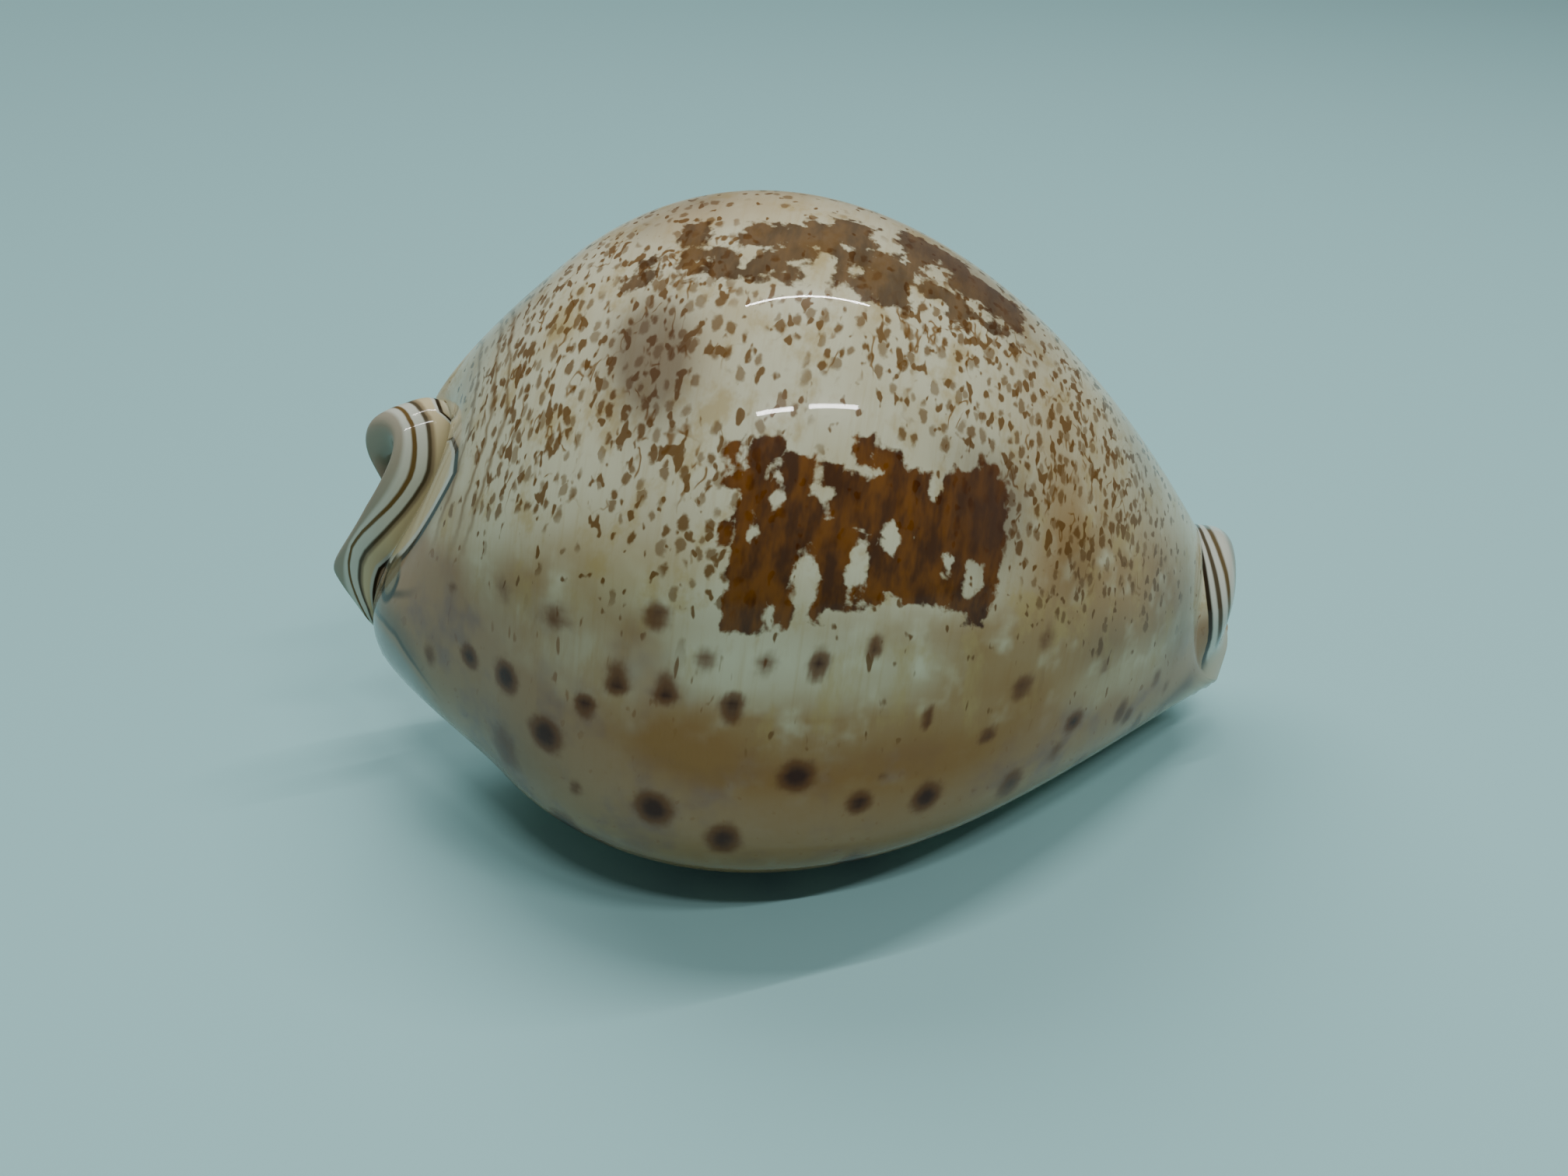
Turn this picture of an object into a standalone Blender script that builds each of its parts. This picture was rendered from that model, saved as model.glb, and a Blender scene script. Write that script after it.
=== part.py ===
"""Prince cowrie shell, one grown piece, at its real size.

The shell is one thick sheet that is curled round until its two lips almost meet under
it. A slot with teeth on both lips runs along the base between them, and the sheet ends
in a collar at each end of the slot. The sheet is laid out on two numbers: "along" runs
from the rim of the rear collar (0) to the rim of the front collar (1), and "girth" runs
from the outer lip (0) over the back to the inner lip (1).

+X is the front of the animal, +Y the side of the inner lip, +Z up. The shell leans as
it lies, on a small flat spot that is worn on its base.
"""

import math

import bmesh
import bpy
import numpy as np

MM = 0.001

# The whorl between its collars, from its rear neck to its front neck.
REAR_NECK_X = -31.3 * MM
FRONT_NECK_X = 38.7 * MM
REAR_NECK_HALF_WIDTH = 4.1 * MM
REAR_NECK_HALF_HEIGHT = 12.5 * MM
FRONT_NECK_HALF_WIDTH = 8.1 * MM
FRONT_NECK_HALF_HEIGHT = 7.5 * MM

# How far the back, the base and both sides stand out past the necks, and how each one
# rises from the rear and falls to the front (0.5 is round like an egg, 1 is straight).
BACK_HEIGHT = 21.7 * MM
BACK_CURVE = (0.70, 1.01)
BASE_DEPTH = 14.5 * MM
BASE_CURVE = (0.73, 0.96)
OUTER_SIDE_WIDTH = 20.5 * MM
OUTER_SIDE_CURVE = (0.52, 0.85)
INNER_SIDE_WIDTH = 16.7 * MM
INNER_SIDE_CURVE = (1.00, 0.98)

# How full a cross-section is: 2 is an ellipse, more is squarer.
BACK_FULLNESS = 1.88
OUTER_BASE_FULLNESS = 3.50
INNER_BASE_FULLNESS = 2.4
NECK_FULLNESS = 2.15
FULLNESS_BLEND = 0.35

# The outer lip swells into a pad beside the slot: depth, direction and width.
LIP_PAD = (1.0 * MM, 255.0, 14.0)

# How the necks stand off the middle line of the whorl.
REAR_NECK_OFFSET = (2.4 * MM, -4.0 * MM)
FRONT_NECK_OFFSET = (14.1 * MM, -4.8 * MM)

# The rear end is drawn out into two lips with a notch between them. Each lip has its
# length and its direction round the end, in degrees from +Y towards +Z.
REAR_LIP_NEAR = (7.3 * MM, 212.0, 53.0)
REAR_LIP_FAR = (4.6 * MM, 51.0, 51.0)
REAR_LIP_BASE = (6.8 * MM, 280.0, 40.0)
REAR_LIP_FADE = 0.123
FRONT_BASE_LIP = (5.9 * MM, 270.0, 50.0)
FRONT_LIP_START = 0.75

# At the front the inner lip hangs lower than the outer one: drop, direction and width.
FRONT_FOOT = (1.8 * MM, 295.0, 30.0)

# The collars: length past the neck, how much shorter they are under the shell, how far
# the rim stands off the neck in Y and Z, and how much wider or narrower it is there.
REAR_COLLAR = 4.5 * MM
REAR_COLLAR_BASE_CUT = 2.6 * MM
REAR_COLLAR_SHIFT = (-3.5 * MM, 3.6 * MM)
REAR_COLLAR_FLARE = (-0.17, -0.28)
FRONT_COLLAR = 4.5 * MM
FRONT_COLLAR_BASE_CUT = 3.0 * MM
FRONT_COLLAR_SHIFT = (2.8 * MM, 1.5 * MM)
FRONT_COLLAR_FLARE = (0.0, -0.34)
REAR_COLLAR_SPAN = 0.10
FRONT_COLLAR_SPAN = 0.09
RIM_START = 0.60

# The wall, which is thicker over the two necks, and the slot between the lips.
BACK_WALL = 2.4 * MM
REAR_NECK_WALL = 3.8 * MM
FRONT_NECK_WALL = 0.8 * MM
SIDE_WALL = 3.2 * MM
BASE_WALL = 5.0 * MM
CHANNEL_HALF_WIDTH = 1.2 * MM
REAR_BASE_INSET = 3.0 * MM
FRONT_BASE_INSET = 2.0 * MM
SLOT_HALF_WIDTH = 1.25 * MM
SLOT_BEND = -1.5 * MM
LIP_RADIUS = 1.2 * MM
LIP_BAND = 3.4 * MM

# Teeth: count, first and last place along the slot, and how far they stand out.
OUTER_LIP_TEETH = 30
INNER_LIP_TEETH = 27
TEETH_FROM, TEETH_TO = 0.12, 0.90
TOOTH_HEIGHT = 0.45 * MM
POINTS_PER_TOOTH = 4

# How the shell lies, in degrees, and how much of its lowest point is worn flat.
ROLL, PITCH, YAW = -8.6, 5.9, -10.6
WORN_DEPTH = 0.6 * MM

# Facets.
BODY_POINTS = 58
INSIDE_POINTS = 13
GIRTH_POINTS = 37


def hump(t, rise, fall):
    """0 at both ends of t, 1 at the highest point, with its own slope at each end."""
    top = rise / (rise + fall)
    return (t / top) ** rise * ((1 - t) / (1 - top)) ** fall


def lobe(angle, direction, width):
    """1 in one direction round the axis, fading away on both sides of it."""
    turn = (angle - direction + 180) % 360 - 180
    return np.exp(-(turn / width) ** 2)


def collar_parts(along):
    """Place on the rear collar, on the front collar, and between the necks, 0 to 1."""
    rear = np.clip(1 - along / REAR_COLLAR_SPAN, 0, 1)
    front = np.clip((along - 1 + FRONT_COLLAR_SPAN) / FRONT_COLLAR_SPAN, 0, 1)
    body = (along - REAR_COLLAR_SPAN) / (1 - REAR_COLLAR_SPAN - FRONT_COLLAR_SPAN)
    body = 0.5 - 0.5 * np.cos(np.pi * np.clip(body, 0, 1))
    return rear, front, body


def half_sizes(body):
    """Half sizes of the outer cross-section: to the back, base, outer and inner side."""
    width = REAR_NECK_HALF_WIDTH * (1 - body) + FRONT_NECK_HALF_WIDTH * body
    height = REAR_NECK_HALF_HEIGHT * (1 - body) + FRONT_NECK_HALF_HEIGHT * body
    back = height + BACK_HEIGHT * hump(body, *BACK_CURVE)
    base = height + BASE_DEPTH * hump(body, *BASE_CURVE)
    outer = width + OUTER_SIDE_WIDTH * hump(body, *OUTER_SIDE_CURVE)
    inner = width + INNER_SIDE_WIDTH * hump(body, *INNER_SIDE_CURVE)
    return back, base, outer, inner


def hollow_sizes(body, back, base, outer, inner):
    """The same four half sizes of the hollow, inside a wall that is thick at the necks."""
    neck = 1 - hump(body, 0.3, 0.3)
    back = back - BACK_WALL - neck * np.where(body < 0.5, REAR_NECK_WALL, FRONT_NECK_WALL)
    base = base - BASE_WALL + neck * (BASE_WALL - BACK_WALL)
    width = REAR_NECK_HALF_WIDTH * (1 - body) + FRONT_NECK_HALF_WIDTH * body
    thinner = SIDE_WALL - width + CHANNEL_HALF_WIDTH
    outer = CHANNEL_HALF_WIDTH + (outer - width) * (1 - thinner / OUTER_SIDE_WIDTH)
    inner = CHANNEL_HALF_WIDTH + (inner - width) * (1 - thinner / INNER_SIDE_WIDTH)
    return back, base, outer, inner


def slot_angles(side, fullness, reach):
    """Angle from straight down at which a cross-section is this far from the slot."""
    return np.arcsin(np.clip(reach / side, 0, 0.95) ** (fullness / 2))


def section(cosine, sine, power, back, base, outer, inner):
    """Points of a superellipse that has its own half size in each of four directions."""
    y = np.where(cosine > 0, inner, outer) * np.sign(cosine) * np.abs(cosine) ** power
    z = np.where(sine > 0, back, base) * np.sign(sine) * np.abs(sine) ** power
    return y, z


def sheet(along, girth, inside=False, band=1.0):
    """Point of the outer or the inner face of the sheet, before the shell is tilted.

    girth is an angle round a superellipse, from one side of the slot to the other. band
    moves both ends of girth from the lip (0) to the edge of the toothed band (1). The
    ends are drawn out along X by an amount that depends on the direction, as seen from
    the middle of the neck, in which a point of the outer face lies.
    """
    rear, front, body = collar_parts(along)
    sizes = half_sizes(body)
    back, base, outer, inner = sizes
    swell = hump(body, 0.5, 0.5)
    outer_low = NECK_FULLNESS + (OUTER_BASE_FULLNESS - NECK_FULLNESS) * swell
    inner_low = NECK_FULLNESS + (INNER_BASE_FULLNESS - NECK_FULLNESS) * swell
    room = 0.8 * (np.minimum(outer, inner) - SLOT_HALF_WIDTH - LIP_RADIUS)
    reach = LIP_BAND * room / (LIP_BAND + room) * (0.15 + 0.85 * swell)
    reach = SLOT_HALF_WIDTH + LIP_RADIUS + (0 if inside else band) * reach
    start = slot_angles(outer, outer_low, reach)
    end = slot_angles(inner, inner_low, reach)
    angle = -np.pi / 2 - start - girth * (2 * np.pi - start - end)
    cosine, sine = np.cos(angle), np.sin(angle)
    upward = 0.5 + 0.5 * np.tanh(sine / FULLNESS_BLEND)
    low_fullness = np.where(cosine > 0, inner_low, outer_low)
    power = 2 / (low_fullness + (BACK_FULLNESS - low_fullness) * upward)
    draw_in = np.sin(rear * np.pi / 2) ** 2
    rear_bend, front_bend = (1 - body) ** 3, body ** 3
    wide = 1 + REAR_COLLAR_FLARE[0] * draw_in + FRONT_COLLAR_FLARE[0] * front
    high = 1 + REAR_COLLAR_FLARE[1] * draw_in + FRONT_COLLAR_FLARE[1] * front
    aside = REAR_COLLAR_SHIFT[0] * rear + FRONT_COLLAR_SHIFT[0] * front
    upwards = REAR_COLLAR_SHIFT[1] * rear + FRONT_COLLAR_SHIFT[1] * front
    y, z = section(cosine, sine, power, *sizes)
    z = z * high + upwards
    heading = np.degrees(np.arctan2(z / np.where(z > 0, back, base),
                                    y / np.where(y > 0, inner, outer))) % 360
    if inside:
        y, z = section(cosine, sine, power, *hollow_sizes(body, *sizes))
        z = z * high + upwards
    degrees = np.degrees(angle) % 360
    y = (y * wide + aside + SLOT_BEND * hump(body, 1.5, 1.5) * lobe(degrees, 270, 30)
         + REAR_NECK_OFFSET[0] * rear_bend + FRONT_NECK_OFFSET[0] * front_bend)
    z = (z - LIP_PAD[0] * lobe(degrees, *LIP_PAD[1:]) * hump(body, 1, 1)
         - FRONT_FOOT[0] * lobe(degrees, *FRONT_FOOT[1:]) * front_bend
         + REAR_NECK_OFFSET[1] * rear_bend + FRONT_NECK_OFFSET[1] * front_bend)
    lips = sum(size * lobe(heading, *shape)
               for size, *shape in (REAR_LIP_NEAR, REAR_LIP_FAR, REAR_LIP_BASE))
    base_lip = FRONT_BASE_LIP[0] * lobe(heading, *FRONT_BASE_LIP[1:])
    low = lobe(heading, 270, 50)
    x = (REAR_NECK_X + (FRONT_NECK_X - REAR_NECK_X) * body
         - lips * np.clip(1 - body / REAR_LIP_FADE, 0, 1) ** 2
         + base_lip * np.clip((body - FRONT_LIP_START) / (1 - FRONT_LIP_START), 0, 1) ** 2
         - (REAR_COLLAR - REAR_COLLAR_BASE_CUT * low) * rear
         + (FRONT_COLLAR - FRONT_COLLAR_BASE_CUT * low) * front)
    if inside:
        x = x + low * (REAR_BASE_INSET * rear_bend ** 4 - FRONT_BASE_INSET * front_bend ** 4)
    return np.stack(np.broadcast_arrays(x, y, z), -1)


def rounded(along, girth, points):
    """Draw points in to the middle of the sheet near a rim, so that the rim is round."""
    rear, front, _ = collar_parts(along)
    near_rim = np.clip((np.maximum(rear, front) - RIM_START) / (1 - RIM_START), 0, 1)
    middle = (sheet(along, girth, band=0) + sheet(along, girth, inside=True)) / 2
    return middle + np.sqrt(1 - near_rim ** 2)[..., None] * (points - middle)


def tilted(points):
    """Turn points by the roll, then the pitch, then the yaw that the shell lies at."""
    roll, pitch, yaw = (math.radians(angle) for angle in (ROLL, PITCH, YAW))
    about_x = np.array([[1, 0, 0], [0, math.cos(roll), -math.sin(roll)],
                        [0, math.sin(roll), math.cos(roll)]])
    about_y = np.array([[math.cos(pitch), 0, math.sin(pitch)], [0, 1, 0],
                        [-math.sin(pitch), 0, math.cos(pitch)]])
    about_z = np.array([[math.cos(yaw), -math.sin(yaw), 0],
                        [math.sin(yaw), math.cos(yaw), 0], [0, 0, 1]])
    return points @ (about_z @ about_y @ about_x).T


def stations(body_points, collar_steps, rim_steps):
    """Places along the sheet: close together at the rims, then even along the whorl."""
    rim = RIM_START + (1 - RIM_START) * np.sin(np.linspace(0, np.pi / 2, rim_steps + 1))
    collar = np.concatenate([np.linspace(0, RIM_START, collar_steps + 1)[1:-1], rim])
    whorl = np.linspace(REAR_COLLAR_SPAN, 1 - FRONT_COLLAR_SPAN, body_points)
    return np.concatenate([REAR_COLLAR_SPAN * (1 - collar[::-1]), whorl,
                           1 - FRONT_COLLAR_SPAN + FRONT_COLLAR_SPAN * collar])


def lip_rows(side, teeth):
    """Rows of points from the toothed band of one lip, round its edge, into the slot.

    side is 0 for the outer lip and 1 for the inner lip. Teeth are ridges across the
    edge: every row is pushed out of the lip by the same wave, fading onto the base.
    """
    ends = stations(2, 3, 4)
    along = np.concatenate([
        ends[ends < TEETH_FROM - 0.01],
        np.linspace(TEETH_FROM, TEETH_TO, teeth * POINTS_PER_TOOTH + 1),
        ends[ends > TEETH_TO + 0.005]])
    phase = np.clip((along - TEETH_FROM) / (TEETH_TO - TEETH_FROM), 0, 1) * teeth
    ridge = TOOTH_HEIGHT * (0.5 - 0.5 * np.cos(2 * np.pi * phase))
    to_slot = 1 if side == 0 else -1
    lip = sheet(along, np.full_like(along, side), band=0)
    rows = []
    on_base = sheet(along, np.full_like(along, side), band=0.45)
    on_base[:, 2] -= 0.6 * ridge
    rows.append(on_base)
    for degrees in (0, 45, 90):
        turn = math.radians(degrees)
        point = lip.copy()
        point[:, 1] += to_slot * (LIP_RADIUS * math.sin(turn) + ridge * math.sin(turn) * 0.8)
        point[:, 2] += LIP_RADIUS * (1 - math.cos(turn)) - ridge * math.cos(turn)
        rows.append(point)
    return [(along, rounded(along, np.full_like(along, side), row)) for row in rows]


def sheet_rows():
    """All rows of the closed sheet, in order round it, each as (along, points)."""
    girths = np.linspace(0, 1, GIRTH_POINTS)
    along = stations(BODY_POINTS, 4, 4)
    rows = []
    for girth in girths:
        place = np.full_like(along, girth)
        rows.append((along, rounded(along, place, sheet(along, place))))
    rows += lip_rows(1, INNER_LIP_TEETH)
    along = stations(INSIDE_POINTS, 3, 3)
    for girth in girths[::-1]:
        place = np.full_like(along, girth)
        rows.append((along, rounded(along, place, sheet(along, place, inside=True))))
    rows += lip_rows(0, OUTER_LIP_TEETH)[::-1]
    return rows


def zip_rows(mesh, row, other):
    """Fill the strip between two rows of vertices that may differ in their number."""
    (places, verts), (other_places, other_verts) = row, other
    i = j = 0
    while i < len(verts) - 1 or j < len(other_verts) - 1:
        step = j == len(other_verts) - 1 or (
            i < len(verts) - 1 and places[i + 1] <= other_places[j + 1])
        corners = [verts[i], other_verts[j], verts[i + 1] if step else other_verts[j + 1]]
        if len(set(corners)) == 3:
            mesh.faces.new(corners)
        i, j = (i + 1, j) if step else (i, j + 1)


def shell_mesh():
    """The closed sheet as a mesh, resting on its worn spot at the floor."""
    rows = [(along, tilted(points)) for along, points in sheet_rows()]
    stacked = np.concatenate([points for _, points in rows])
    low, high = stacked.min(axis=0), stacked.max(axis=0)
    shift = np.array([(low[0] + high[0]) / 2, (low[1] + high[1]) / 2, low[2] + WORN_DEPTH])
    mesh = bmesh.new()
    ends = {}
    woven = []
    for index, (along, points) in enumerate(rows):
        points = points - shift
        points[:, 2] = np.maximum(points[:, 2], 0)
        inside = index >= GIRTH_POINTS + 4 and index < 2 * GIRTH_POINTS + 4
        if index < GIRTH_POINTS:
            same_end = index
        elif inside:
            same_end = 2 * GIRTH_POINTS + 3 - index
        else:
            same_end = GIRTH_POINTS - 1 if index < GIRTH_POINTS + 4 else 0
        verts = [mesh.verts.new(point) for point in points[1:-1]]
        if index < GIRTH_POINTS:
            ends[index] = (mesh.verts.new(points[0]), mesh.verts.new(points[-1]))
        first, last = ends[same_end]
        woven.append((along, [first, *verts, last]))
    for row, other in zip(woven, woven[1:] + woven[:1]):
        zip_rows(mesh, row, other)
    bmesh.ops.recalc_face_normals(mesh, faces=mesh.faces)
    return mesh


def porcelain():
    """The bare shell's cream porcelain."""
    material = bpy.data.materials.new("cream_porcelain")
    material.use_nodes = True
    shader = material.node_tree.nodes["Principled BSDF"]
    shader.inputs["Base Color"].default_value = (0.62, 0.54, 0.42, 1)
    shader.inputs["Roughness"].default_value = 0.18
    shader.inputs["Metallic"].default_value = 0
    return material


def main():
    for old in list(bpy.data.objects):
        bpy.data.objects.remove(old)
    mesh = bpy.data.meshes.new("shell")
    woven = shell_mesh()
    woven.to_mesh(mesh)
    woven.free()
    mesh.shade_smooth()
    mesh.materials.append(porcelain())
    shell = bpy.data.objects.new("shell", mesh)
    bpy.context.scene.collection.objects.link(shell)


main()
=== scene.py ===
import math

import bmesh
import bpy
import numpy as np
from mathutils import Matrix, Vector


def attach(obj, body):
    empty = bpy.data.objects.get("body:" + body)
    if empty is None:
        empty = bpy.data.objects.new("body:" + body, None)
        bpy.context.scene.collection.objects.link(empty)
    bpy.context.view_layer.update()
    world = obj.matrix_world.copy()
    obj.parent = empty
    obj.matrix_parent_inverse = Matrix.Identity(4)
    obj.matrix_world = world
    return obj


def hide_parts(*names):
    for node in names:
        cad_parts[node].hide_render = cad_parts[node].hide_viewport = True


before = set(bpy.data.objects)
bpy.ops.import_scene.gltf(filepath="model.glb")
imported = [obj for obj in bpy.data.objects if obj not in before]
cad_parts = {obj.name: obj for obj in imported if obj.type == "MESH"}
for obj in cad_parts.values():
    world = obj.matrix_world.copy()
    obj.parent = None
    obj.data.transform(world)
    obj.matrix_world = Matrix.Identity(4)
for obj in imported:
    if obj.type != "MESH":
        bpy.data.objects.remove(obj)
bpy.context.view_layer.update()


# The shell: one sheet of porcelain that the animal curled round itself until its two
# lips almost met. The sheet ends in a collar at each end of the slot, and both lips
# carry a row of teeth. "along" runs from the rear rim (0) to the front rim (1).

MM = 0.001
DOWN = 270.0

# The half sizes of the cross-section at the two necks, and the most that the body between
# them adds on each side, with the powers by which that rises and falls towards the necks.
REAR_NECK_X, FRONT_NECK_X = -31.3 * MM, 38.7 * MM
REAR_NECK_HALF_WIDTH, REAR_NECK_HALF_HEIGHT = 4.1 * MM, 12.5 * MM
FRONT_NECK_HALF_WIDTH, FRONT_NECK_HALF_HEIGHT = 8.1 * MM, 7.5 * MM
BACK_HEIGHT, BACK_CURVE = 21.7 * MM, (0.70, 1.01)
BASE_DEPTH, BASE_CURVE = 14.5 * MM, (0.73, 0.96)
OUTER_SIDE_WIDTH, OUTER_SIDE_CURVE = 20.5 * MM, (0.52, 0.85)
INNER_SIDE_WIDTH, INNER_SIDE_CURVE = 16.7 * MM, (1.00, 0.98)

# How full the cross-section's corners are (2 is an ellipse), how far each neck lies aside
# and up, and two swellings of the base. A swelling or lip is its size, the direction it
# points in and its width, both in degrees.
BACK_FULLNESS, NECK_FULLNESS, FULLNESS_BLEND = 1.88, 2.15, 0.35
OUTER_BASE_FULLNESS, INNER_BASE_FULLNESS = 3.50, 2.4
REAR_NECK_OFFSET, FRONT_NECK_OFFSET = (2.4 * MM, -4.0 * MM), (14.1 * MM, -4.8 * MM)
LIP_PAD = (1.0 * MM, 255.0, 14.0)
FRONT_FOOT = (1.8 * MM, 295.0, 30.0)

# The collars are drawn out along X past the necks, less so at the base, and each takes up
# its span of "along". A shift moves the rim aside and up, and a flare is the part by which
# the rim is wider and higher than the neck. From RIM_START on the edge is rounded.
REAR_LIPS = ((7.3 * MM, 212.0, 53.0), (4.6 * MM, 51.0, 51.0), (6.8 * MM, 280.0, 40.0))
REAR_LIP_FADE = 0.123
FRONT_BASE_LIP, FRONT_LIP_START = (5.9 * MM, 270.0, 50.0), 0.75
REAR_COLLAR, REAR_COLLAR_BASE_CUT, REAR_COLLAR_SPAN = 4.5 * MM, 2.6 * MM, 0.10
REAR_COLLAR_SHIFT, REAR_COLLAR_FLARE = (-3.5 * MM, 3.6 * MM), (-0.17, -0.28)
FRONT_COLLAR, FRONT_COLLAR_BASE_CUT, FRONT_COLLAR_SPAN = 4.5 * MM, 3.0 * MM, 0.09
FRONT_COLLAR_SHIFT, FRONT_COLLAR_FLARE = (2.8 * MM, 1.5 * MM), (0.0, -0.34)
RIM_START, BASE_CUT_WIDTH = 0.60, 50.0

# The walls, what the back's wall gains at the necks, and how far the hollow's lower edge
# stays inside each rim. Then the channels, the slot, and its lips with their teeth.
BACK_WALL, SIDE_WALL, BASE_WALL = 2.4 * MM, 3.2 * MM, 5.0 * MM
REAR_NECK_WALL, FRONT_NECK_WALL = 3.8 * MM, 0.8 * MM
REAR_BASE_INSET, FRONT_BASE_INSET = 3.0 * MM, 2.0 * MM
CHANNEL_HALF_WIDTH, SLOT_HALF_WIDTH = 1.2 * MM, 1.25 * MM
SLOT_BEND, SLOT_BEND_WIDTH = -1.5 * MM, 30.0
LIP_RADIUS, LIP_BAND = 1.2 * MM, 3.4 * MM
OUTER_LIP_TEETH, INNER_LIP_TEETH = 30, 27
TEETH_FROM, TEETH_TO, TOOTH_HEIGHT, TEETH_FADE = 0.12, 0.90, 0.45 * MM, 0.10

# How the shell lies, in degrees, and how much of it is worn away where it touches.
ROLL, PITCH, YAW = -8.6, 5.9, -10.6
WORN_DEPTH = 0.6 * MM

# How many points there are round the shell, along each part of it, and across each lip's
# toothed band and rounded edge. The inside keeps one place along in so many.
GIRTH_POINTS = 230
COLLAR_PLACES, RIM_PLACES, NECK_PLACES, TEETH_PLACES = 13, 11, 5, 241
BAND_PLACES, EDGE_TURNS = (0.84, 0.68, 0.52, 0.36, 0.18), (0, 22, 45, 67, 90)
INSIDE_KEEPS = 8
SAME_POINT = 1e-7


def hump(t, rise, fall):
    """0 at both ends of t, 1 at the highest point: t to the power rise, times 1 - t to
    the power fall, divided by its own largest value."""
    top = rise / (rise + fall)
    return (t / top) ** rise * ((1 - t) / (1 - top)) ** fall


def lobe(angle, direction, width):
    """A bell curve of the angle: 1 in one direction, fading over the width in degrees."""
    turn = (angle - direction + 180) % 360 - 180
    return np.exp(-(turn / width) ** 2)


def collar_parts(along):
    """Place on the rear collar, on the front collar (0 at the neck, 1 at the rim), and
    between the necks, where the whorl runs as half a turn of a cosine."""
    rear = np.clip(1 - along / REAR_COLLAR_SPAN, 0, 1)
    front = np.clip((along - 1 + FRONT_COLLAR_SPAN) / FRONT_COLLAR_SPAN, 0, 1)
    body = (along - REAR_COLLAR_SPAN) / (1 - REAR_COLLAR_SPAN - FRONT_COLLAR_SPAN)
    return rear, front, 0.5 - 0.5 * np.cos(np.pi * np.clip(body, 0, 1))


def half_sizes(body):
    """Half sizes of the outer cross-section: the neck's own size, which runs straight
    from rear to front, plus a hump for the back, the base, the outer and inner side."""
    width = REAR_NECK_HALF_WIDTH * (1 - body) + FRONT_NECK_HALF_WIDTH * body
    height = REAR_NECK_HALF_HEIGHT * (1 - body) + FRONT_NECK_HALF_HEIGHT * body
    return (height + BACK_HEIGHT * hump(body, *BACK_CURVE),
            height + BASE_DEPTH * hump(body, *BASE_CURVE),
            width + OUTER_SIDE_WIDTH * hump(body, *OUTER_SIDE_CURVE),
            width + INNER_SIDE_WIDTH * hump(body, *INNER_SIDE_CURVE))


def hollow_sizes(body, back, base, outer, inner):
    """The half sizes of the hollow: the outer ones less the wall, thick at the necks."""
    neck = 1 - hump(body, 0.3, 0.3)
    back = back - BACK_WALL - neck * np.where(body < 0.5, REAR_NECK_WALL, FRONT_NECK_WALL)
    base = base - BASE_WALL + neck * (BASE_WALL - BACK_WALL)
    width = REAR_NECK_HALF_WIDTH * (1 - body) + FRONT_NECK_HALF_WIDTH * body
    thinner = SIDE_WALL - width + CHANNEL_HALF_WIDTH
    outer = CHANNEL_HALF_WIDTH + (outer - width) * (1 - thinner / OUTER_SIDE_WIDTH)
    inner = CHANNEL_HALF_WIDTH + (inner - width) * (1 - thinner / INNER_SIDE_WIDTH)
    return back, base, outer, inner


def slot_angles(side, fullness, reach):
    """Angle from straight down at which a cross-section is this far from the slot."""
    return np.arcsin(np.clip(reach / side, 0, 0.95) ** (fullness / 2))


def section(cosine, sine, power, back, base, outer, inner):
    """A superellipse: each half size times the cosine or sine, raised to the power."""
    y = np.where(cosine > 0, inner, outer) * np.sign(cosine) * np.abs(cosine) ** power
    z = np.where(sine > 0, back, base) * np.sign(sine) * np.abs(sine) ** power
    return y, z


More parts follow.
